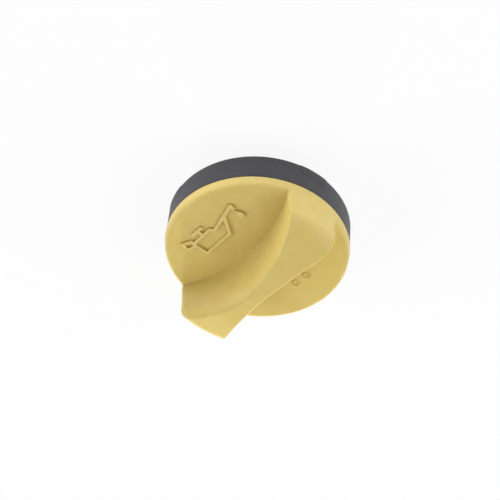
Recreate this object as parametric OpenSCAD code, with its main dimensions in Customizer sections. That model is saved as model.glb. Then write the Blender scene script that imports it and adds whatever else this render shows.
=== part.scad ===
// Oil filler cap: a moulded cap with a finger grip and a bayonet neck, and the
// rubber ring that seals it on the rocker cover.
// Millimetres. +Z is up out of the grip, +X runs along the grip and +Y points to
// the hollow with the oil can sign. The end of the neck stands on z = 0.

/* [Disc] */
// Radius of the disc at the edge of its face
disc_r = 29; // [27:0.5:34]
// Height of the disc, from its underside to its face
disc_h = 3.5; // [3:0.1:5]
// Rounding of the face's edge
disc_round = 1.4; // [0.4:0.1:2]
// How far the foot of the rim stands out past the face's edge
rim_flare = 0.3; // [0:0.05:0.6]

/* [Grip] */
// How far the grip's ends stand back from the edge of the disc
grip_back = 0.1; // [0.05:0.05:0.5]
// Distance from the middle line to the flat side of the grip's ends
end_half_w = 9.4; // [8.5:0.1:10]
// Height of the grip's crown above the face
grip_h = 15.4; // [11:0.1:19]
// Radius of the long arc along the top
crown_r = 128; // [90:1:200]
// How far the highest point lies from the middle, towards the blunt end
crown_shift = 4.6; // [0:0.1:6]
// Rounding of the top at both ends
end_round = 4.8; // [2:0.1:5.5]
// Radius of the hollow beside the grip, on the side of the sign
sign_hollow_r = 52; // [46:0.5:60]
// Distance from the middle line to the wall of the sign's hollow
sign_wall_y = 1.7; // [1:0.1:3]
// Lean of that wall
sign_wall_lean = 6; // [3:0.5:8]
// Radius of the hollow on the plain side
plain_hollow_r = 91.6; // [70:0.2:120]
// How far that hollow lies towards the blunt end
plain_shift = 3; // [0:0.1:5]
// Distance from the middle line to the wall of the plain hollow
plain_wall_y = 6.3; // [5:0.1:7.5]
// Lean of that wall
plain_wall_lean = 1.5; // [0.5:0.5:4]
// Fillet at the foot of both walls
foot_fillet = 0.5; // [0.3:0.1:1.4]
// Width of the soft edge over the blunt end
soft_edge_w = 2.6; // [1:0.1:3]
// Wall left around the pocket under the grip
grip_wall = 2.4; // [1.6:0.1:2.6]

/* [Sign] */
// Width of the sign's lines
line_w = 1.25; // [0.8:0.05:1.6]
// Height of the lines above the face
line_h = 0.6; // [0.2:0.05:1]

/* [Mould marks] */
// Outer radius of the two blank rings on the plain side
mark_r = 1.45; // [1:0.05:2]
// Width of their rim
mark_w = 0.6; // [0.3:0.05:0.9]
// Height of their rim
mark_h = 0.25; // [0.1:0.05:0.5]

/* [Sealing ring] */
// How far the ring stands out past the disc
seal_proud = 0.1; // [0:0.05:0.3]
// Thickness of the ring around the shoulder
seal_wall = 3.8; // [3.4:0.1:4.4]
// Height of the ring
seal_h = 9.7; // [6:0.1:12]
// Thickness of the flange under the shoulder
seal_flange_h = 1.8; // [1.2:0.1:3]
// Width of the flange's sealing face
seal_face_w = 6.5; // [5:0.1:7]
// Radius of the round groove in the flange's sealing face
seal_groove_r = 0.6; // [0.3:0.1:1]
// Bevel along the ring's upper edge
seal_bevel = 0.5; // [0.2:0.1:0.9]
// Room between the ring and the shoulder
seal_fit = 0.1; // [0.05:0.05:0.3]

/* [Neck] */
// Wall of the shoulder
shoulder_wall = 2.2; // [1.6:0.1:3]
// Outer radius of the neck
neck_r = 18; // [16:0.5:19]
// Wall of the neck
neck_wall = 2.4; // [1.8:0.1:3]
// How far the neck reaches past the ring
neck_reach = 8.3; // [6:0.1:12]
// Number of bayonet lugs
lug_count = 3; // [2:1:4]
// How far a lug stands out of the neck
lug_out = 3.8; // [2:0.1:4]
// Height of a lug
lug_h = 3; // [2:0.1:4]
// Angle that a lug covers
lug_angle = 44; // [20:1:60]
// Direction of the first lug
lug_start = 34; // [0:1:119]
// Bevel under a lug
lug_bevel = 0.2; // [0.2:0.1:1]

/* [Hidden] */
$fn = 120;
// A small overlap that lets solids run into each other before they are joined
bite = 0.5;
// Steps in the arc of a fillet
arc_steps = 6;

seal_foot_z = neck_reach;
shoulder_z = seal_foot_z + seal_flange_h;
disc_z = seal_foot_z + seal_h;
face_z = disc_z + disc_h;
neck_bore_r = neck_r - neck_wall;
lug_r = neck_r + lug_out;
seal_r = disc_r + seal_proud;
seal_bore_r = seal_r - seal_wall;
shoulder_r = seal_bore_r - seal_fit;
shoulder_bore_r = shoulder_r - shoulder_wall;
// How far a cutter reaches past what it cuts
cut_past = 10;
// Height that clears the top of everything
over = grip_h + cut_past;

grip_r = disc_r - grip_back;
// The grip's foot runs this far down into the disc
foot_depth = disc_round + bite;
// The fillet runs this far into the face, so that it crosses it cleanly
foot_sink = 0.05;
// The soft edge lies this far below the crown, and its cone reaches this far
soft_edge_drop = 0.9;
soft_reach = 8;
// Ledge between the neck's bore and the pocket
pocket_step = 2.6;
// Radius from the axis where the rounding of the grip's ends starts. It runs a
// little past the ends, so that it crosses them cleanly
round_past = 0.2;
round_r = grip_r - end_round + round_past;
// The rounding stands this far above the crown where it starts
round_rise = 0.15;
round_left_z = crown_z(-round_r) + round_rise - end_round;
round_right_z = crown_z(round_r) + round_rise - end_round;
round_tilt = atan((round_left_z - round_right_z) / (2 * round_r));

// Height of the crown over a place along the grip
function crown_z(x) = crown_axis_z() + sqrt(crown_r * crown_r - pow(x + crown_shift, 2));
function crown_axis_z() = face_z + grip_h - crown_r;

// The ends of a raised line swell by this much, so that they cross its sides cleanly
joint_swell = 0.04;

// Points along an arc, from one angle to another
function arc(centre, radius, from, to) =
    [for (i = [0 : arc_steps]) centre + radius * heading(from + (to - from) * i / arc_steps)];
function heading(angle) = [cos(angle), sin(angle)];

// Oil can sign, drawn from the usual dashboard symbol. The outline of the can
can_line = [[-9.6, 11.9], [1.7, 11.9], [5.8, 17.2]];
can_back = [[-9.6, 11.9], [-9.6, 17.5], [-1.2, 17.5], [-0.3, 16.2], [10.8, 18.9]];
can_handle = [[-9.9, 16.5], [-12.9, 17.5], [-12.1, 20], [-9.2, 18.6]];
can_knob = [[-6.2, 20], [-2.7, 20]];
can_post = [[-4.5, 17.5], [-4.5, 20]];
can_tip = [[10.8, 18.9], [10.6, 17.7]];
drop_top = [10.4, 16.6];
drop_middle = [10.2, 14.4];
drop_r = 1.25;
mark_places = [[3.6, -17.5], [-1.3, -17.2]];

// A raised line through a row of points
module raised_line(points) {
    for (i = [0 : len(points) - 2]) {
        along = points[i + 1] - points[i];
        translate([points[i][0], points[i][1], face_z - bite])
            rotate([0, 0, atan2(along[1], along[0])])
                translate([0, -line_w / 2, 0])
                    cube([norm(along), line_w, line_h + bite]);
    }
    for (i = [0 : len(points) - 1])
        translate([points[i][0], points[i][1], face_z - bite])
            cylinder(r = line_w / 2 + joint_swell, h = line_h + bite);
}

// The oil drop under the spout
module oil_drop() {
    translate([drop_middle[0], drop_middle[1], face_z - bite])
        cylinder(r = drop_r, h = line_h + bite);
    translate([0, 0, face_z - bite])
        linear_extrude(line_h + bite)
            polygon([drop_top, drop_middle + [-drop_r, 0.2], drop_middle + [drop_r, 0.2]]);
}

module oil_can_sign() {
    raised_line(can_line);
    raised_line(can_back);
    raised_line(can_handle);
    raised_line(can_knob);
    raised_line(can_post);
    raised_line(can_tip);
    oil_drop();
}

module mould_marks() {
    for (place = mark_places)
        translate([place[0], place[1], face_z - bite])
            difference() {
                cylinder(r = mark_r, h = mark_h + bite);
                translate([0, 0, bite])
                    cylinder(r = mark_r - mark_w, h = mark_h + bite);
            }
}

// Disc with a rounded face edge, a shoulder for the ring and a neck
module disc_shoulder_neck() {
    rotate_extrude()
        polygon(concat(
            [[0, disc_z], [disc_r + rim_flare, disc_z]],
            arc([disc_r - disc_round, face_z - disc_round], disc_round, 0, 90),
            [[0, face_z]]
        ));
    ring_wall(shoulder_bore_r, shoulder_r, shoulder_z, disc_z + bite);
    ring_wall(neck_bore_r, neck_r, 0, disc_z + bite);
}

// A round wall between two radii and two heights
module ring_wall(inner_r, outer_r, low_z, high_z) {
    rotate_extrude()
        translate([inner_r, low_z])
            square([outer_r - inner_r, high_z - low_z]);
}

module bayonet_lugs() {
    for (i = [0 : lug_count - 1])
        rotate([0, 0, lug_start - lug_angle / 2 + i * 360 / lug_count])
            rotate_extrude(angle = lug_angle)
                polygon([
                    [neck_r - bite, 0], [lug_r - lug_bevel, 0], [lug_r, lug_bevel],
                    [lug_r, lug_h], [neck_r - bite, lug_h]
                ]);
}

// Solid that scoops out the hollow beside the grip: a cone with a filleted foot
module hollow_cut(radius, wall_y, lean) {
    centre_r = radius + foot_fillet * tan(lean) - foot_fillet / cos(lean);
    translate([0, radius + wall_y, face_z])
        rotate_extrude()
            polygon(concat(
                [[0, -foot_depth], [centre_r, -foot_depth]],
                arc([centre_r, foot_fillet - foot_sink], foot_fillet, -90, -lean),
                [[radius + over * tan(lean), over], [0, over]]
            ));
}

// The same cone, larger by the wall that is left beside the pocket
module pocket_side_cut(radius, wall_y, lean) {
    wall_r = radius + grip_wall;
    translate([0, radius + wall_y, face_z])
        rotate_extrude()
            polygon([
                [0, -over], [wall_r - over * tan(lean), -over],
                [wall_r + over * tan(lean), over], [0, over]
            ]);
}

// Everything under the long arc along the top, lowered by a wall
module under_crown(lower) {
    translate([-crown_shift, 0, crown_axis_z()])
        rotate([90, 0, 0])
            cylinder(r = crown_r - lower, h = 4 * disc_r, center = true, $fn = 240);
}

// Takes the corner off the top at both ends and leaves a rounding
module end_round_cut() {
    translate([0, 0, (round_left_z + round_right_z) / 2])
        rotate([0, round_tilt, 0])
            difference() {
                ring_wall(round_r, disc_r + cut_past, 0, over);
                rotate_extrude()
                    translate([round_r, 0])
                        circle(end_round);
            }
}

// Takes the sharp edge off the sign side, more and more towards the blunt end
module soft_edge_cut() {
    edge_r = sign_hollow_r + grip_h * tan(sign_wall_lean);
    translate([0, sign_hollow_r + sign_wall_y, face_z + grip_h - soft_edge_drop])
        rotate([0, -atan(soft_edge_w / disc_r), 0])
            translate([0, 0, -soft_reach])
                cylinder(r1 = edge_r - soft_reach, r2 = edge_r + soft_reach, h = 2 * soft_reach);
}

module grip() {
    difference() {
        intersection() {
            translate([0, 0, face_z - disc_round])
                cylinder(r = grip_r, h = over);
            under_crown(0);
        }
        hollow_cut(sign_hollow_r, sign_wall_y, sign_wall_lean);
        translate([-plain_shift, 0, 0])
            rotate([0, 0, 180])
                hollow_cut(plain_hollow_r, plain_wall_y, plain_wall_lean);
        translate([-disc_r, -end_half_w - cut_past, disc_z])
            cube([2 * disc_r, cut_past, over + disc_h]);
        end_round_cut();
        soft_edge_cut();
    }
}

// Pocket that keeps the grip's walls even, open into the neck
module grip_pocket() {
    difference() {
        intersection() {
            translate([0, 0, disc_z - bite])
                cylinder(r = neck_bore_r - pocket_step, h = over);
            under_crown(grip_wall);
        }
        pocket_side_cut(sign_hollow_r, sign_wall_y, sign_wall_lean);
        translate([-plain_shift, 0, 0])
            rotate([0, 0, 180])
                pocket_side_cut(plain_hollow_r, plain_wall_y, plain_wall_lean);
    }
}

// The cap, moulded in one piece in pale yellow plastic
module cap_body() {
    color("#D8C07C")
        difference() {
            union() {
                disc_shoulder_neck();
                grip();
                oil_can_sign();
                mould_marks();
                bayonet_lugs();
            }
            grip_pocket();
        }
}

// Black rubber ring around the shoulder, with a grooved flange under it
module sealing_ring() {
    groove_x = seal_r - seal_face_w / 2;
    color("#4A4A4E")
        rotate_extrude()
            difference() {
                polygon([
                    [seal_r - seal_face_w, seal_foot_z], [seal_r, seal_foot_z],
                    [seal_r, disc_z - seal_bevel], [seal_r - seal_bevel, disc_z],
                    [seal_bore_r, disc_z], [seal_bore_r, shoulder_z],
                    [seal_r - seal_face_w, shoulder_z]
                ]);
                translate([groove_x, seal_foot_z])
                    circle(seal_groove_r);
            }
}

cap_body();
sealing_ring();
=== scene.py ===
import itertools
import math

import bmesh
import bpy
import numpy as np
from mathutils import Matrix, Vector


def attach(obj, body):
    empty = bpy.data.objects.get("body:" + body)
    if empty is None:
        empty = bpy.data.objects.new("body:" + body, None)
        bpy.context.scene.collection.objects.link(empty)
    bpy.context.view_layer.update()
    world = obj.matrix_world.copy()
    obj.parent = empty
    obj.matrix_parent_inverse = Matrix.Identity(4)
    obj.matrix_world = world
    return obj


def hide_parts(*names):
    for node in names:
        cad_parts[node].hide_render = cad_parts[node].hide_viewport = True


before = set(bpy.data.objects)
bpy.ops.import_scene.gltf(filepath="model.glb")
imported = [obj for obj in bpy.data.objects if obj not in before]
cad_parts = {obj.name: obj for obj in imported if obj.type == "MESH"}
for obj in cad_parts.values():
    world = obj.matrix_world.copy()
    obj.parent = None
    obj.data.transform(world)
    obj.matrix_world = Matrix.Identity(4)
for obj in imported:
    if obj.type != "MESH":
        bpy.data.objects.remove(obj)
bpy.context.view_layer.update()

# Metres in a millimetre
MM = 0.001

# Sizes in millimetres, named as in the part's source where it has them. Here the sign's lines are a
# little wider and higher than in the solids, and the fillet at the grip's foot is smaller
DISC_R = 29.0
DISC_H = 3.5
DISC_ROUND = 1.4
RIM_FLARE = 0.3
RIM_FOOT_ROUND = 0.35
GRIP_H = 15.4
CROWN_R = 128.0
CROWN_SHIFT = 4.6
SIGN_HOLLOW_R = 52.0
SIGN_WALL_Y = 1.7
SIGN_WALL_LEAN = math.radians(6)
PLAIN_HOLLOW_R = 91.6
PLAIN_SHIFT = 3.0
END_HALF_W = 9.4
PLAIN_WALL_Y = 6.3
PLAIN_WALL_LEAN = math.radians(1.5)
BLUNT_END_LEAN = math.radians(3)
FOOT_FILLET = 0.25
GRIP_WALL = 2.4
LINE_W = 1.3
LINE_H = 0.75
MARK_R = 1.45
MARK_W = 0.6
MARK_H = 0.25
SEAL_R = 29.1
SEAL_H = 9.7
SEAL_FLANGE_H = 1.8
SEAL_FACE_W = 6.5
SEAL_GROOVE_R = 0.6
SEAL_BEVEL = 0.5
SEAL_FIT = 0.1
SHOULDER_R = 25.2
SHOULDER_WALL = 2.2
NECK_R = 18.0
NECK_WALL = 2.4
NECK_REACH = 8.3
LUG_COUNT = 3
LUG_OUT = 3.8
LUG_H = 3.0
LUG_ANGLE = math.radians(44)
LUG_START = math.radians(34)

SHOULDER_Z = NECK_REACH + SEAL_FLANGE_H
DISC_Z = NECK_REACH + SEAL_H
FACE_Z = DISC_Z + DISC_H
CROWN_Z = FACE_Z + GRIP_H
POCKET_STEP = 2.6
POCKET_R = NECK_R - NECK_WALL - POCKET_STEP
# The neck and the shoulder run up into the disc by this much
BURIED = 1.2
BURIED_Z = DISC_Z + BURIED

# The rounding over the grip's ends, a little less at the thin one
BLUNT_END_ROUND = 3.3
THIN_END_LESS = 0.3
THIN_END_X = 8
# The sign's wall begins to stand steeper at one place and is steepest at the other
STEEPER_X = -12
STEEPEST_X = -27
END_CORNER_ROUND = 0.8
PLAIN_EDGE_ROUND = 0.6
# The rounding of the sign side's top edge, from the blunt end to the thin one
SOFT_EDGE_X = [-28, -20, -14, -8, -2, 3, 8]
SOFT_EDGE_ROUND = [2.2, 2.6, 2.7, 2.5, 1.8, 1.1, 0.75]
# Above the face, the edges go from the disc's rounding to their own between these heights
EDGE_START_H = 1.5
EDGE_FULL_H = 8
FOOT_TOP_H = 1.3
POCKET_ROUND = 0.4
# The witness line on the crown runs around a panel that stands a little proud
PANEL_START_X = 1.0
PANEL_R = 26.0
PANEL_INSET = 1.2
PANEL_EDGE = 0.15
PANEL_DEPTH = 0.06
# Edges of what is raised on the face
LINE_DRAFT = 0.15
LINE_ROUND = 0.15
LINE_CORNER_FILLET = 0.2
MARK_ROUND = 0.12
RELIEF_FILLET = 0.05
RELIEF_DEPTH = 1
# Edges under the disc
NECK_ROUND = 0.4
LUG_BEVEL = 0.2
LUG_SUNK = 0.6
LUG_STEPS = 22
# Two low pads on the outside of the ring, from one angle to another in degrees
PAD_ANGLES = [(-7, 13), (96, 114)]
PAD_H = 3.4
PAD_TOP = NECK_REACH + PAD_H
PAD_OUT = 0.2
PAD_END_EASE = 0.8
PAD_TOP_EASE = 0.5
PAD_START_IN = 1.0
PAD_FULL_IN = 0.4

# The oil can sign and the two blank mould rings, in millimetres on the disc's face
CAN_LINES = [
    [(-9.6, 11.9), (1.7, 11.9), (5.8, 17.2)],
    [(-9.6, 11.9), (-9.6, 17.5), (-1.2, 17.5), (-0.3, 16.2), (10.8, 18.9)],
    [(-9.9, 16.5), (-12.9, 17.5), (-12.1, 20.0), (-9.2, 18.6)],
    [(-6.2, 20.0), (-2.7, 20.0)],
    [(-4.5, 17.5), (-4.5, 20.0)],
    [(10.8, 18.9), (10.6, 17.7)],
]
DROP_TOP = (10.4, 16.6)
DROP_MIDDLE = (10.2, 14.4)
DROP_R = 1.25
DROP_TAPER = 0.85
MARK_PLACES = [(3.6, -17.5), (-1.3, -17.2)]
SIGN_MIDDLE = (-1, 16.5, FACE_Z)
# A dark speck on the face and a soft smudge on the grip
SPECK_MIDDLE = (7.1, 27.6, FACE_Z)
SMUDGE_MIDDLE = (0.6, 0.2, CROWN_Z - 3.6)

# The grid that the cap's skin is laid on, finer around the sign: each band's start, end and step
COARSE = 0.28
FINE = 0.16
FINE_Z = 0.14
GRID_X = [(-29.7, -14.05, COARSE), (-14.05, 12.1, FINE), (12.1, 29.7, COARSE)]
GRID_Y = [(-29.7, 10.9, COARSE), (10.9, 20.9, FINE), (20.9, 29.7, COARSE)]
GRID_Z = [(17.6, 21.2, COARSE), (21.2, 22.2, FINE_Z), (22.2, 37.2, COARSE)]
# Farther than any real distance
FAR = 99.0
# The least slope that a point is moved by
FLATTEST = 0.2
TRIANGLES_MOST = 188000
# A corner sharper than this stays sharp in the shading
SHARP_ANGLE = math.radians(38)
# Radius of the circle that the outlines are carried around
PATH_R = 20.0

# Colours as red, green and blue from 0 to 255, as they look on screen
NYLON_SHADES = {
    "pale": (215, 192, 112),
    "deep": (211, 187, 105),
    # the flecks' pale colour also serves as the painted highlight on the tops of the sign's lines
    "fleck": (227, 207, 136),
    # painted shade for the sides of the sign's lines
    "crease_shade": (196, 150, 52),
    # the speck's dark colour also serves as the painted shadow at the foot of the walls
    "speck": (96, 70, 34),
}
RUBBER_SHADES = {"dark": (50, 50, 54), "pale": (58, 58, 62), "dust": (104, 104, 108)}
# How strongly each tone covers the one under it, from 0 to 1: the flecks, the speck and the smudge are
# the plastic's own marks, while the tones on the lines' sides, on their tops and at the walls' foot are
# painted shade, painted highlight and painted shadow
NYLON_SHARES = {
    "fleck": 0.10,
    "crease_shade": 0.7,
    "foot": 0.22,
    "line top highlight": 0.5,
    "speck": 0.75,
    "smudge": 0.22,
}
DUST_SHARE = 0.25
# The moulded grain, with its depth in millimetres
GRAIN_SHARE = 0.6
GRAIN_DEPTH = 0.02
NYLON_ROUGH = 0.34
RUBBER_ROUGH = 0.50
ROUGH_SPREAD = 0.10


# Shapes as distances: below zero inside the plastic, above zero outside

def ease(start, end, value):
    """Goes softly from 0 at start to 1 at end."""
    share = np.clip((value - start) / (end - start), 0, 1)
    return share * share * (3 - 2 * share)


def keep_both(a, b, radius):
    """What two shapes share, with a rounded edge where their skins meet."""
    inner = np.minimum(-radius, np.maximum(a, b))
    return inner + np.hypot(np.maximum(radius + a, 0), np.maximum(radius + b, 0))


def join(a, b, radius):
    """Two shapes together, with a fillet where their skins meet."""
    outer = np.maximum(radius, np.minimum(a, b))
    return outer - np.hypot(np.maximum(radius - a, 0), np.maximum(radius - b, 0))


def line_distance(x, y, points):
    """Distance on the face to a row of points joined by straight lines."""
    nearest = np.full(np.broadcast(x, y).shape, FAR)
    for (ax, ay), (bx, by) in zip(points, points[1:]):
        dx = bx - ax
        dy = by - ay
        share = np.clip(((x - ax) * dx + (y - ay) * dy) / (dx * dx + dy * dy), 0, 1)
        nearest = np.minimum(nearest, np.hypot(x - ax - share * dx, y - ay - share * dy))
    return nearest


def sign_distance(x, y):
    """Distance on the face to the edge of the sign's lines and drop."""
    nearest = np.full(np.broadcast(x, y).shape, FAR)
    for points in CAN_LINES:
        line = line_distance(x, y, points) - LINE_W / 2
        nearest = join(nearest, line, LINE_CORNER_FILLET)
    share = np.clip((y - DROP_MIDDLE[1]) / (DROP_TOP[1] - DROP_MIDDLE[1]), 0, 1)
    middle_x = DROP_MIDDLE[0] + share * (DROP_TOP[0] - DROP_MIDDLE[0])
    middle_y = DROP_MIDDLE[1] + share * (DROP_TOP[1] - DROP_MIDDLE[1])
    drop = np.hypot(x - middle_x, y - middle_y) - DROP_R * (1 - DROP_TAPER * share)
    return np.minimum(nearest, drop)


def mark_distance(x, y):
    """Distance on the face to the rims of the two mould rings."""
    nearest = np.full(np.broadcast(x, y).shape, FAR)
    for place_x, place_y in MARK_PLACES:
        out = np.hypot(x - place_x, y - place_y)
        nearest = np.minimum(nearest, np.abs(out - MARK_R + MARK_W / 2) - MARK_W / 2)
    return nearest


def grip_walls(x, y, z):
    """The two hollow walls beside the grip, sign side first."""
    height = z - FACE_Z
    # The sign's wall stands steeper towards the blunt end
    lean = SIGN_WALL_LEAN + (BLUNT_END_LEAN - SIGN_WALL_LEAN) * ease(STEEPER_X, STEEPEST_X, x)
    sign_r = SIGN_HOLLOW_R + height * np.tan(lean)
    sign = (sign_r - np.hypot(x, y - SIGN_HOLLOW_R - SIGN_WALL_Y)) * math.cos(SIGN_WALL_LEAN)
    plain_r = PLAIN_HOLLOW_R + height * math.tan(PLAIN_WALL_LEAN)
    plain = plain_r - np.hypot(x + PLAIN_SHIFT, y + PLAIN_HOLLOW_R + PLAIN_WALL_Y)
    return sign, keep_both(plain * math.cos(PLAIN_WALL_LEAN), -y - END_HALF_W, END_CORNER_ROUND)


def cap_shape(x, y, z):
    """The disc, the grip, the sign and the pocket under the grip."""
    out = np.hypot(x, y)
    height = z - FACE_Z
    rim = out - DISC_R - RIM_FLARE * np.clip((-height - DISC_ROUND) / (DISC_H - DISC_ROUND), 0, 1)
    sign_wall, plain_wall = grip_walls(x, y, z)
    walls = np.maximum(sign_wall, plain_wall)
    crown = np.hypot(x + CROWN_SHIFT, z - CROWN_Z + CROWN_R) - CROWN_R
    # A shallow witness line on the crown, left by the mould's insert
    panel = np.maximum(np.maximum(PANEL_START_X - x, out - PANEL_R), walls + PANEL_INSET)
    top = crown + PANEL_DEPTH * ease(PANEL_EDGE, -PANEL_EDGE, panel)
    # The grip: its top edge is crisp at the thin end and soft over the blunt end
    end_round = BLUNT_END_ROUND - THIN_END_LESS * ease(-THIN_END_X, THIN_END_X, x)
    grip = keep_both(top, rim, end_round)
    up = ease(FACE_Z + EDGE_START_H, FACE_Z + EDGE_FULL_H, z)
    soft = np.interp(x, SOFT_EDGE_X, SOFT_EDGE_ROUND)
    grip = keep_both(grip, sign_wall, DISC_ROUND + (soft - DISC_ROUND) * up)
    grip = keep_both(grip, plain_wall, DISC_ROUND + (PLAIN_EDGE_ROUND - DISC_ROUND) * up)
    # The disc, with a fillet at the foot of the walls
    foot = join(height, walls, FOOT_FILLET)
    foot = keep_both(foot, rim, DISC_ROUND)
    body = np.minimum(grip, np.maximum(foot, height - FOOT_TOP_H))
    # Raised lines with a little draft on their sides
    draft = LINE_DRAFT * np.clip(height, 0, 1)
    sign = keep_both(height - LINE_H, sign_distance(x, y) + draft, LINE_ROUND)
    marks = keep_both(height - MARK_H, mark_distance(x, y) + draft, MARK_ROUND)
    relief = np.maximum(np.minimum(sign, marks), -height - RELIEF_DEPTH)
    body = join(body, relief, RELIEF_FILLET)
    body = keep_both(body, DISC_Z - z, RIM_FOOT_ROUND)
    pocket = np.maximum(np.maximum(out - POCKET_R, walls + GRIP_WALL), crown + GRIP_WALL)
    return keep_both(body, -pocket, POCKET_ROUND)


# Skin of a shape

def ruler(bands):
    """Places along an axis: each band is its start, its end and the step between."""
    places = []
    for start, end, step in bands:
        places.append(np.linspace(start, end, max(1, round((end - start) / step)), endpoint=False))
    places.append([bands[-1][1]])
    return np.concatenate(places)


def slope(shape, points, reach=0.01):
    """Direction in which the shape's distance grows, at each point."""
    parts = []
    for axis in range(3):
        step = np.zeros(3)
        step[axis] = reach
        ahead = shape(*(points + step).T)
        behind = shape(*(points - step).T)
        parts.append((ahead - behind) / (2 * reach))
    return np.stack(parts, 1)


def settle(shape, points, rounds=3, most=0.12):
    """Points moved onto the shape's skin, with the outward direction there."""
    for _ in range(rounds):
        lean = slope(shape, points)
        steep = np.maximum(np.linalg.norm(lean, axis=1), FLATTEST)
        move = np.clip(shape(*points.T) / steep, -most, most)
        points = points - lean * (move / steep)[:, None]
    lean = slope(shape, points)
    return points, lean / np.maximum(np.linalg.norm(lean, axis=1), 1e-6)[:, None]


def skin(shape, xs, ys, zs):
    """A closed skin of quads around a shape, one point in each cell that it passes through."""
    value = shape(xs[:, None, None], ys[None, :, None], zs[None, None, :])
    inside = value < 0
    corners = list(itertools.product((0, 1), repeat=3))
    span = [n - 1 for n in value.shape]

    def corner(array, c):
        return array[c[0]:c[0] + span[0], c[1]:c[1] + span[1], c[2]:c[2] + span[2]]

    filled = sum(corner(inside, c).astype(np.int8) for c in corners)
    crossed = (filled > 0) & (filled < len(corners))
    cells = np.argwhere(crossed)
    number = np.full(crossed.shape, -1, np.int64)
    number[crossed] = np.arange(len(cells))
    total = np.zeros((len(cells), 3))
    hits = np.zeros(len(cells))
    rulers = (xs, ys, zs)
    for first, second in itertools.combinations(corners, 2):
        if sum(abs(a - b) for a, b in zip(first, second)) != 1:
            continue
        a = value[tuple((cells + first).T)]
        b = value[tuple((cells + second).T)]
        meets = (a < 0) != (b < 0)
        share = np.where(meets, a / np.where(meets, a - b, 1), 0)
        for axis in range(3):
            low = rulers[axis][cells[:, axis] + first[axis]]
            high = rulers[axis][cells[:, axis] + second[axis]]
            total[:, axis] += np.where(meets, low + (high - low) * share, 0)
        hits += meets
    points = total / hits[:, None]
    quads = []
    for axis in range(3):
        u = (axis + 1) % 3
        v = (axis + 2) % 3
        low = [slice(None)] * 3
        high = [slice(None)] * 3
        low[axis] = slice(0, -1)
        high[axis] = slice(1, None)
        change = inside[tuple(low)] != inside[tuple(high)]
        at = np.argwhere(change)
        at = at[(at[:, u] > 0) & (at[:, v] > 0) & (at[:, u] < span[u]) & (at[:, v] < span[v])]
        leaves = inside[tuple(at.T)]
        ring = []
        for du, dv in ((-1, -1), (0, -1), (0, 0), (-1, 0)):
            cell = at.copy()
            cell[:, u] += du
            cell[:, v] += dv
            ring.append(number[tuple(cell.T)])
        ring = np.stack(ring, 1)
        ring[~leaves] = ring[~leaves][:, ::-1]
        quads.append(ring)
    return points, np.concatenate(quads)


def plain_mesh(name, points, faces):
    """A mesh object at the origin from points in millimetres."""
    mesh = bpy.data.meshes.new(name)
    mesh.from_pydata((np.asarray(points) * MM).tolist(), [], [list(f) for f in faces])
    mesh.update()
    piece = bpy.data.objects.new(name, mesh)
    bpy.context.scene.collection.objects.link(piece)
    return piece


def finished(piece):
    """The piece with its modifiers worked into a plain mesh."""
    bpy.context.view_layer.update()
    seen = piece.evaluated_get(bpy.context.evaluated_depsgraph_get())
    mesh = bpy.data.meshes.new_from_object(seen)
    mesh.name = piece.name
    piece.modifiers.clear()
    piece.data = mesh
    return piece


def points_of(piece):
    """The piece's points in millimetres."""
    flat = np.zeros(len(piece.data.vertices) * 3)
    piece.data.vertices.foreach_get("co", flat)
    return flat.reshape(-1, 3) / MM


def dressed(piece, shape):
    """The piece's points settled on the shape, with the shape's own directions for shading."""
    points, outward = settle(shape, points_of(piece), rounds=2)
    piece.data.vertices.foreach_set("co", (points * MM).ravel())
    piece.data.update()
    piece.data.shade_smooth()
    piece.data.normals_split_custom_set_from_vertices(outward.tolist())
    return piece


def make_cap_top():
    """The grip, the disc and what stands on it, as one skin."""
    points, quads = skin(cap_shape, ruler(GRID_X), ruler(GRID_Y), ruler(GRID_Z))
    points, _ = settle(cap_shape, points)
    piece = plain_mesh("cap_grip_and_disc", points, quads)
    thin = piece.modifiers.new("thin", "DECIMATE")
    thin.ratio = min(1.0, TRIANGLES_MOST / (2 * len(quads)))
    thin.use_collapse_triangulate = True
    return dressed(finished(piece), cap_shape)


# Pieces that follow a path or repeat, as Geometry Nodes trees

class Tree:
    """A Geometry Nodes tree with named inputs."""

    def __init__(self, name, inputs):
        self.group = bpy.data.node_groups.new(name, "GeometryNodeTree")
        sides = self.group.interface
        sides.new_socket("Geometry", in_out="INPUT", socket_type="NodeSocketGeometry")
        for label, kind in inputs.items():
            sides.new_socket(label, in_out="INPUT", socket_type="NodeSocket" + kind)
        sides.new_socket("Geometry", in_out="OUTPUT", socket_type="NodeSocketGeometry")
        self.start = self.group.nodes.new("NodeGroupInput")
        self.end = self.group.nodes.new("NodeGroupOutput")

    def given(self, label):
        return self.start.outputs[label]

    def node(self, kind, sockets=None, **settings):
        made = self.group.nodes.new(kind)
        for key, value in settings.items():
            setattr(made, key, value)
        for key, value in (sockets or {}).items():
            if isinstance(value, bpy.types.NodeSocket):
                self.group.links.new(value, made.inputs[key])
            else:
                made.inputs[key].default_value = value
        return made

    def finish(self, geometry):
        whole = self.node("GeometryNodeRealizeInstances", {"Geometry": geometry})
        coat = self.node(
            "GeometryNodeSetMaterial",
            {"Geometry": whole.outputs[0], "Material": self.given("Material")},
        )
        self.group.links.new(coat.outputs[0], self.end.inputs[0])
        return self

    def dress(self, piece, **values):
        """Runs the tree on a piece and leaves a plain mesh."""
        step = piece.modifiers.new(self.group.name, "NODES")
        step.node_group = self.group
        for item in self.group.interface.items_tree:
            if item.in_out == "INPUT" and item.name in values:
                step[item.identifier] = values[item.name]
        return finished(piece)


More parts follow.
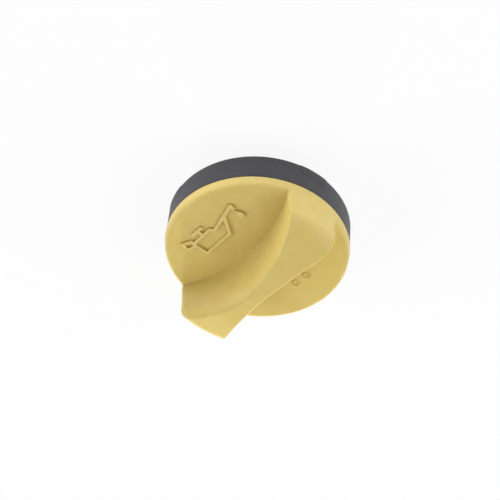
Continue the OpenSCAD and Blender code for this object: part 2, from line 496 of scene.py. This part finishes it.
def turned_tree():
    """Carries a closed outline around a circle, as a lathe or a ring mould does."""
    tree = Tree("turned_outline", {"Radius": "Float", "Steps": "Int", "Material": "Material"})
    outline = tree.node("GeometryNodeMeshToCurve", {"Mesh": tree.given("Geometry")})
    path = tree.node(
        "GeometryNodeCurvePrimitiveCircle",
        {"Resolution": tree.given("Steps"), "Radius": tree.given("Radius")},
    )
    path = tree.node("GeometryNodeSetCurveNormal", {"Curve": path.outputs[0]}, mode="Z_UP")
    solid = tree.node(
        "GeometryNodeCurveToMesh",
        {"Curve": path.outputs[0], "Profile Curve": outline.outputs[0]},
    )
    return tree.finish(solid.outputs[0])


def ring_of_lugs_tree():
    """Sets copies of one lug around the neck."""
    tree = Tree(
        "ring_of_lugs",
        {"Count": "Int", "First": "Float", "Material": "Material"},
    )
    spots = tree.node("GeometryNodePoints", {"Count": tree.given("Count")})
    index = tree.node("GeometryNodeInputIndex")
    share = tree.node(
        "ShaderNodeMath",
        {0: index.outputs[0], 1: tree.given("Count")},
        operation="DIVIDE",
    )
    angle = tree.node(
        "ShaderNodeMath",
        {0: share.outputs[0], 1: 2 * math.pi, 2: tree.given("First")},
        operation="MULTIPLY_ADD",
    )
    turn = tree.node("ShaderNodeCombineXYZ", {"Z": angle.outputs[0]})
    copies = tree.node(
        "GeometryNodeInstanceOnPoints",
        {"Points": spots.outputs[0], "Instance": tree.given("Geometry"), "Rotation": turn.outputs[0]},
    )
    return tree.finish(copies.outputs[0])


def eased_outline(corners, steps=5):
    """A closed outline through corners, each given as radius, height and rounding."""
    points = []
    count = len(corners)
    for i, (x, y, rounding) in enumerate(corners):
        here = np.array([x, y])
        before = np.array(corners[i - 1][:2]) - here
        after = np.array(corners[(i + 1) % count][:2]) - here
        before = before / np.linalg.norm(before)
        after = after / np.linalg.norm(after)
        if rounding == 0:
            points.append(here)
            continue
        half = math.acos(np.clip(before @ after, -1, 1)) / 2
        reach = rounding / math.tan(half)
        centre = here + (before + after) / np.linalg.norm(before + after) * rounding / math.sin(half)
        start = here + before * reach - centre
        end = here + after * reach - centre
        sweep = math.atan2(start[0] * end[1] - start[1] * end[0], start @ end)
        for k in range(steps + 1):
            a = sweep * k / steps
            c, s = math.cos(a), math.sin(a)
            points.append(centre + np.array([c * start[0] - s * start[1], s * start[0] + c * start[1]]))
    return points


def outline_object(name, corners, longest=1.2):
    """An outline as an edge loop, cut into short steps, ready to be turned."""
    points = eased_outline(corners)
    fine = []
    for a, b in zip(points, points[1:] + points[:1]):
        cuts = max(1, math.ceil(np.linalg.norm(b - a) / longest))
        fine += [a + (b - a) * k / cuts for k in range(cuts)]
    # The circle's own frame points down, so the outline goes in upside down
    spots = [((x - PATH_R) * MM, -y * MM, 0) for x, y in fine]
    edges = [(i, (i + 1) % len(spots)) for i in range(len(spots))]
    mesh = bpy.data.meshes.new(name)
    mesh.from_pydata(spots, edges, [])
    piece = bpy.data.objects.new(name, mesh)
    bpy.context.scene.collection.objects.link(piece)
    return piece


def make_sealing_ring(tree, rubber):
    """The ring with its flange and groove, and two low pads by its lower edge."""
    inner_r = SHOULDER_R + SEAL_FIT
    groove = SEAL_R - SEAL_FACE_W / 2
    half = SEAL_GROOVE_R
    foot = NECK_REACH
    # Each corner's radius, height and rounding
    corners = [
        (SEAL_R - SEAL_FACE_W, foot, 0.25),
        (groove - half, foot, 0.1),
        (groove - half / 2, foot + half, 0.2),
        (groove + half / 2, foot + half, 0.2),
        (groove + half, foot, 0.1),
        (SEAL_R, foot, 0.35),
        (SEAL_R, DISC_Z - SEAL_BEVEL, 0.3),
        (SEAL_R - SEAL_BEVEL, DISC_Z, 0.15),
        (inner_r, DISC_Z, 0.1),
        (inner_r, SHOULDER_Z, 0.15),
        (SEAL_R - SEAL_FACE_W, SHOULDER_Z, 0.3),
    ]
    piece = outline_object("sealing_ring_rubber", corners, longest=0.9)
    tree.dress(piece, Radius=PATH_R * MM, Steps=360, Material=rubber)
    points = points_of(piece)
    angle = np.degrees(np.arctan2(points[:, 1], points[:, 0]))
    out = np.hypot(points[:, 0], points[:, 1])
    pads = np.zeros(len(points))
    for start, end in PAD_ANGLES:
        begun = ease(start - PAD_END_EASE, start + PAD_END_EASE, angle)
        not_over = ease(end + PAD_END_EASE, end - PAD_END_EASE, angle)
        pads = np.maximum(pads, begun * not_over)
    pads *= ease(PAD_TOP + PAD_TOP_EASE, PAD_TOP - PAD_TOP_EASE, points[:, 2])
    pads *= ease(SEAL_R - PAD_START_IN, SEAL_R - PAD_FULL_IN, out)
    points[:, :2] *= (1 + PAD_OUT * pads / out)[:, None]
    piece.data.vertices.foreach_set("co", (points * MM).ravel())
    return closed(piece)


def make_neck(tree, plastic):
    """The shoulder that carries the ring, and the neck inside it."""
    bore_r = NECK_R - NECK_WALL
    neck = [
        (bore_r, 0, NECK_ROUND), (NECK_R, 0, NECK_ROUND),
        (NECK_R, BURIED_Z, 0), (bore_r, BURIED_Z, 0),
    ]
    piece = outline_object("cap_neck", neck)
    tree.dress(piece, Radius=PATH_R * MM, Steps=240, Material=plastic)
    inside = SHOULDER_R - SHOULDER_WALL
    shoulder = [
        (inside, SHOULDER_Z, NECK_ROUND), (SHOULDER_R, SHOULDER_Z, NECK_ROUND),
        (SHOULDER_R, BURIED_Z, 0), (inside, BURIED_Z, 0),
    ]
    wall = outline_object("cap_shoulder", shoulder)
    tree.dress(wall, Radius=PATH_R * MM, Steps=300, Material=plastic)
    return closed(piece), closed(wall)


def make_lugs(plastic):
    """Three bayonet lugs: one is shaped here and the tree sets its copies round the neck."""
    lug_r = NECK_R + LUG_OUT
    root_r = NECK_R - LUG_SUNK
    outline = [(root_r, 0), (lug_r, 0), (lug_r, LUG_H), (root_r, LUG_H)]
    points = []
    for k in range(LUG_STEPS + 1):
        a = LUG_ANGLE * (k / LUG_STEPS - 0.5)
        points += [(r * math.cos(a), r * math.sin(a), z) for r, z in outline]
    faces = [(3, 2, 1, 0), tuple(4 * LUG_STEPS + i for i in range(4))]
    for k in range(LUG_STEPS):
        for i in range(4):
            j = (i + 1) % 4
            faces.append((4 * k + i, 4 * k + j, 4 * k + 4 + j, 4 * k + 4 + i))
    piece = plain_mesh("bayonet_lugs", points, faces)
    soften = piece.modifiers.new("soften", "BEVEL")
    soften.width = LUG_BEVEL * MM
    soften.segments = 3
    soften.limit_method = "ANGLE"
    finished(piece)
    tree = ring_of_lugs_tree()
    tree.dress(piece, Count=LUG_COUNT, First=LUG_START, Material=plastic)
    return closed(piece)


def closed(piece):
    """Normals worked out again and soft shading that keeps the sharp corners."""
    work = bmesh.new()
    work.from_mesh(piece.data)
    bmesh.ops.remove_doubles(work, verts=work.verts, dist=1e-7)
    bmesh.ops.recalc_face_normals(work, faces=work.faces)
    work.to_mesh(piece.data)
    work.free()
    piece.data.shade_smooth()
    piece.data.set_sharp_from_angle(angle=SHARP_ANGLE)
    return piece


# Finishes

class Wire:
    """One output of a shader node. Sums, products and the larger of two (|) add their Math nodes."""

    def __init__(self, coat, socket):
        self.coat = coat
        self.socket = socket

    def worked(self, operation, first, second):
        return self.coat.node("ShaderNodeMath", {"operation": operation}, {0: first, 1: second})

    def __add__(self, other):
        return self.worked("ADD", self, other)

    def __radd__(self, other):
        return self.worked("ADD", other, self)

    def __mul__(self, other):
        return self.worked("MULTIPLY", self, other)

    def __or__(self, other):
        return self.worked("MAXIMUM", self, other)

    def between(self, start, end):
        """Eases from 0 at start to 1 at end."""
        return self.coat.node(
            "ShaderNodeMapRange",
            {"interpolation_type": "SMOOTHSTEP"},
            {"Value": self, "From Min": start, "From Max": end},
        )


class Coat:
    """The nodes of a material or of the sky."""

    def __init__(self, owner):
        owner.use_nodes = True
        self.owner = owner
        self.tree = owner.node_tree
        self.tree.nodes.clear()

    def node(self, kind, settings, values, out=0):
        made = self.tree.nodes.new(kind)
        for key, value in settings.items():
            setattr(made, key, value)
        for key, value in values.items():
            if isinstance(value, Wire):
                self.tree.links.new(value.socket, made.inputs[key])
            else:
                made.inputs[key].default_value = value
        return Wire(self, made.outputs[out])

    def place(self):
        """Where a point lies on the piece, in metres."""
        return self.node("ShaderNodeTexCoord", {}, {}, "Object")

    def noise(self, size_mm, detail, roughness=0.5):
        """Soft spots of about this size."""
        values = {
            "Vector": self.place(),
            "Scale": 1 / (size_mm * MM),
            "Detail": detail,
            "Roughness": roughness,
        }
        return self.node("ShaderNodeTexNoise", {}, values, "Fac")

    def spot(self, middle, edge, core):
        """Full within core of a middle and gone beyond edge, all in millimetres."""
        middle_m = [c * MM for c in middle]
        far = self.node(
            "ShaderNodeVectorMath", {"operation": "DISTANCE"}, {0: self.place(), 1: middle_m}, "Value"
        )
        return far.between(edge * MM, core * MM)

    def mixed(self, share, first, second):
        """Goes from one colour to another."""
        return self.node(
            "ShaderNodeMix", {"data_type": "RGBA"}, {"Factor": share, 6: first, 7: second}, 2
        )

    def bump(self, height, depth_mm, strength):
        """Relief on the skin for the light alone."""
        return self.node(
            "ShaderNodeBump", {}, {"Height": height, "Distance": depth_mm * MM, "Strength": strength}
        )

    def end(self, surface, kind="ShaderNodeOutputMaterial"):
        """Ends the nodes in their output."""
        output = self.tree.nodes.new(kind)
        self.tree.links.new(surface.socket, output.inputs["Surface"])
        return self.owner

    def done(self, **values):
        """Ends the material in one plastic or rubber shader."""
        named = {key.replace("_", " "): value for key, value in values.items()}
        return self.end(self.node("ShaderNodeBsdfPrincipled", {}, named))


def tone(red, green, blue):
    """A colour given as 0 to 255, as it looks on screen."""
    parts = [c / 255 for c in (red, green, blue)]
    return [c / 12.92 if c <= 0.04045 else ((c + 0.055) / 1.055) ** 2.4 for c in parts] + [1.0]


def toned(shades):
    """The shades as the colours that shaders work with."""
    return {name: tone(*shade) for name, shade in shades.items()}


def yellow_nylon():
    """Warm yellow plastic, a little cloudy, with a fine moulded grain, and painted shade and highlight
    on the sign's lines and at the foot of the walls.
    """
    coat = Coat(bpy.data.materials.new("yellow_nylon"))
    shade = toned(NYLON_SHADES)
    height = coat.node("ShaderNodeSeparateXYZ", {}, {"Vector": coat.place()}, "Z")
    face_z = FACE_Z * MM
    top_z = (FACE_Z + LINE_H) * MM

    def band(level, start, end):
        """Comes in from one height to another, in millimetres from a level."""
        return height.between(level + start * MM, level + end * MM)

    cloud = coat.noise(size_mm=9, detail=2).between(0.3, 0.7)
    colour = coat.mixed(cloud, shade["pale"], shade["deep"])
    fleck = coat.noise(size_mm=0.55, detail=1).between(0.70, 0.78)
    colour = coat.mixed(fleck * NYLON_SHARES["fleck"], colour, shade["fleck"])
    # Around the sign, painted shade on the sides of the raised lines and a painted highlight on their
    # tops
    near_sign = coat.spot(SIGN_MIDDLE, edge=14, core=13)
    side = band(face_z, 0.03, 0.15) * band(top_z, -0.04, -0.25)
    colour = coat.mixed(side * near_sign * NYLON_SHARES["crease_shade"], colour, shade["crease_shade"])
    # Painted shadow along the foot of the grip's walls and the raised lines, inside the rim, in the
    # speck's dark colour
    foot = band(face_z, 0.02, 0.10) * band(face_z, 0.50, 0.25)
    inner = coat.spot((0, 0, FACE_Z), edge=27, core=26)
    colour = coat.mixed(foot * inner * NYLON_SHARES["foot"], colour, shade["speck"])
    # Painted highlight on the tops of the sign's lines, in the flecks' pale colour
    line_top_highlight = band(top_z, -0.12, -0.02) * near_sign
    colour = coat.mixed(line_top_highlight * NYLON_SHARES["line top highlight"], colour, shade["fleck"])
    speck = coat.spot(SPECK_MIDDLE, edge=0.35, core=0.12)
    colour = coat.mixed(speck * NYLON_SHARES["speck"], colour, shade["speck"])
    smudge = coat.spot(SMUDGE_MIDDLE, edge=1.1, core=0.1)
    colour = coat.mixed(smudge * NYLON_SHARES["smudge"], colour, shade["speck"])
    grain = coat.noise(size_mm=0.16, detail=2, roughness=0.6)
    waves = coat.noise(size_mm=2.6, detail=2)
    return coat.done(
        Base_Color=colour,
        Roughness=NYLON_ROUGH + waves * ROUGH_SPREAD,
        Normal=coat.bump(grain * GRAIN_SHARE + waves, GRAIN_DEPTH, strength=0.6),
        Subsurface_Weight=0.12,
        Subsurface_Radius=(1.0, 0.75, 0.35),
        Subsurface_Scale=0.0012,
        IOR=1.52,
    )


def black_rubber():
    """Dull black rubber with a few pale specks of dust."""
    coat = Coat(bpy.data.materials.new("black_rubber"))
    shade = toned(RUBBER_SHADES)
    cloud = coat.noise(size_mm=5, detail=3).between(0.3, 0.7)
    colour = coat.mixed(cloud, shade["dark"], shade["pale"])
    dust = coat.noise(size_mm=0.35, detail=2).between(0.66, 0.74)
    colour = coat.mixed(dust * DUST_SHARE, colour, shade["dust"])
    grain = coat.noise(size_mm=0.2, detail=2, roughness=0.6)
    return coat.done(
        Base_Color=colour,
        Roughness=RUBBER_ROUGH + cloud * ROUGH_SPREAD,
        Normal=coat.bump(grain, GRAIN_DEPTH, strength=0.5),
        IOR=1.5,
    )


# The cap

nylon = yellow_nylon()
rubber = black_rubber()

cap_top = make_cap_top()
cap_top.data.materials.append(nylon)
turned = turned_tree()
neck, shoulder = make_neck(turned, nylon)
lugs = make_lugs(nylon)
seal = make_sealing_ring(turned, rubber)

for piece in (cap_top, neck, shoulder, lugs):
    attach(piece, "root")
    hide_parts("cap_body")
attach(seal, "root")
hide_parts("sealing_ring")


# Camera, floor and lights

# The photo's view, found from the ellipse of the rim: the grip's foot is turned by VIEW_TURN
# round the axis, the axis leans VIEW_TILT off the line of sight, and the picture rolls by VIEW_ROLL
VIEW_TILT = math.radians(43.82)
VIEW_ROLL = math.radians(6.21)
VIEW_TURN = math.radians(56)
VIEW_RADII = 16
VIEW_FAR = VIEW_RADII * DISC_R
VIEW_RIGHT = 0.073 * DISC_R
VIEW_DOWN = 0.018 * DISC_R
VIEW_MIDDLE_Z = 20.34
RADIUS_PIXELS = 92.28
PIXELS_FOCAL = RADIUS_PIXELS * VIEW_RADII
PHOTO_SIDE = 500
SENSOR = 36.0


def put_camera():
    """Sets the camera where the photo was taken from."""
    tilt_c, tilt_s = math.cos(VIEW_TILT), math.sin(VIEW_TILT)
    # Columns: the cap's own directions seen as right, down and away
    seen = Matrix(((1, 0, 0), (0, -tilt_c, tilt_s), (0, -tilt_s, -tilt_c)))
    seen = Matrix.Rotation(VIEW_ROLL, 3, "Z") @ seen @ Matrix.Rotation(VIEW_TURN, 3, "Z")
    away = Vector((VIEW_RIGHT, VIEW_DOWN, VIEW_FAR))
    place = -(seen.transposed() @ away) + Vector((0, 0, VIEW_MIDDLE_Z))
    right, down, ahead = seen[0], seen[1], seen[2]
    turn = Matrix((right, -down, -ahead)).transposed()
    camera = bpy.data.objects.new("camera", bpy.data.cameras.new("camera"))
    bpy.context.scene.collection.objects.link(camera)
    camera.matrix_world = Matrix.Translation(place * MM) @ turn.to_4x4()
    camera.data.lens = PIXELS_FOCAL / PHOTO_SIDE * SENSOR
    camera.data.sensor_width = SENSOR
    camera.data.clip_start = 0.01
    bpy.context.scene.camera = camera


put_camera()

# Lamps: name, direction round the axis, height above the horizon, width in metres, watts
LAMPS = [
    ("left", 124, 30, 0.9, 7.8),
    ("low far", 214, 4, 0.18, 18.0),
    ("right", 304, 30, 0.9, 5.6),
    ("high right", 304, 60, 0.9, 4.4),
    ("end", 349, 30, 0.9, 3.1),
]
# The one lamp that shows in reflections
SHEEN = ("sheen", 150, 34, 0.6, 2.8)
LAMP_FAR = 1.2
LAMP_AIM = Vector((0, 0, 0.02))
# Glowing discs on the table, which light the rim from below: name, direction, watts
TABLE_LAMPS = [("table near", 34, 0.11), ("table left", 79, 0.12)]
TABLE_LAMP_FAR = 0.13
TABLE_LAMP_WIDTH = 0.16
TABLE_LAMP_LIFT = Vector((0, 0, 0.0006))
WHITE = (1, 1, 1, 1)
SKY = 0.02
FLOOR_TONE = (0.9, 0.9, 0.9, 1)
FLOOR_WHITE = 0.9
FLOOR_REACH = 3000.0


def new_lamp(name, width, watts, place, turn):
    """A round lamp that lights the cap and stays out of the picture and the reflections."""
    light = bpy.data.lights.new(name, "AREA")
    light.shape = "DISK"
    light.size = width
    light.energy = watts
    lamp = bpy.data.objects.new(name, light)
    bpy.context.scene.collection.objects.link(lamp)
    lamp.matrix_world = Matrix.Translation(place) @ turn
    lamp.visible_camera = False
    lamp.visible_glossy = False
    return lamp


def put_lamp(name, azimuth, height, width, watts):
    """A lamp aimed at the cap from far off."""
    a, h = math.radians(azimuth), math.radians(height)
    out = Vector((math.cos(a) * math.cos(h), math.sin(a) * math.cos(h), math.sin(h)))
    turn = out.to_track_quat("Z", "Y").to_matrix().to_4x4()
    return new_lamp(name, width, watts, out * LAMP_FAR + LAMP_AIM, turn)


def put_table_lamp(name, azimuth, watts):
    """A lamp that lies on the table beside the cap and shines up."""
    a = math.radians(azimuth)
    place = Vector((math.cos(a), math.sin(a), 0)) * TABLE_LAMP_FAR + TABLE_LAMP_LIFT
    return new_lamp(name, TABLE_LAMP_WIDTH, watts, place, Matrix.Rotation(math.pi, 4, "X"))


for lamp in LAMPS:
    put_lamp(*lamp)
put_lamp(*SHEEN).visible_glossy = True
for lamp in TABLE_LAMPS:
    put_table_lamp(*lamp)


def white_or_lit(coat, share, white, lit):
    """White to the camera, in reflections and through glass, and otherwise the lit surface."""
    seen = coat.node("ShaderNodeLightPath", {}, {}, "Is Camera Ray")
    for ray in ("Is Glossy Ray", "Is Transmission Ray"):
        seen = seen | coat.node("ShaderNodeLightPath", {}, {}, ray)
    return coat.node("ShaderNodeMixShader", {}, {0: seen * share, 1: lit, 2: white})


def put_sky():
    """A faint even light from everywhere, which the camera sees as white."""
    world = bpy.data.worlds.new("studio")
    bpy.context.scene.world = world
    coat = Coat(world)
    lit = coat.node("ShaderNodeBackground", {}, {"Color": WHITE, "Strength": SKY})
    white = coat.node("ShaderNodeBackground", {}, {"Color": WHITE, "Strength": 1.0})
    coat.end(white_or_lit(coat, 1.0, white, lit), "ShaderNodeOutputWorld")


def put_floor():
    """A wide pale floor, mostly white, that keeps the cap's shadow."""
    side = FLOOR_REACH
    corners = [(-side, -side, 0), (side, -side, 0), (side, side, 0), (-side, side, 0)]
    floor = plain_mesh("floor", corners, [(0, 1, 2, 3)])
    coat = Coat(bpy.data.materials.new("white_floor"))
    lit = coat.node("ShaderNodeBsdfDiffuse", {}, {"Color": FLOOR_TONE})
    white = coat.node("ShaderNodeEmission", {}, {"Color": WHITE, "Strength": 1.0})
    floor.data.materials.append(coat.end(white_or_lit(coat, FLOOR_WHITE, white, lit)))


put_sky()
put_floor()
bpy.context.scene.view_settings.view_transform = "Standard"
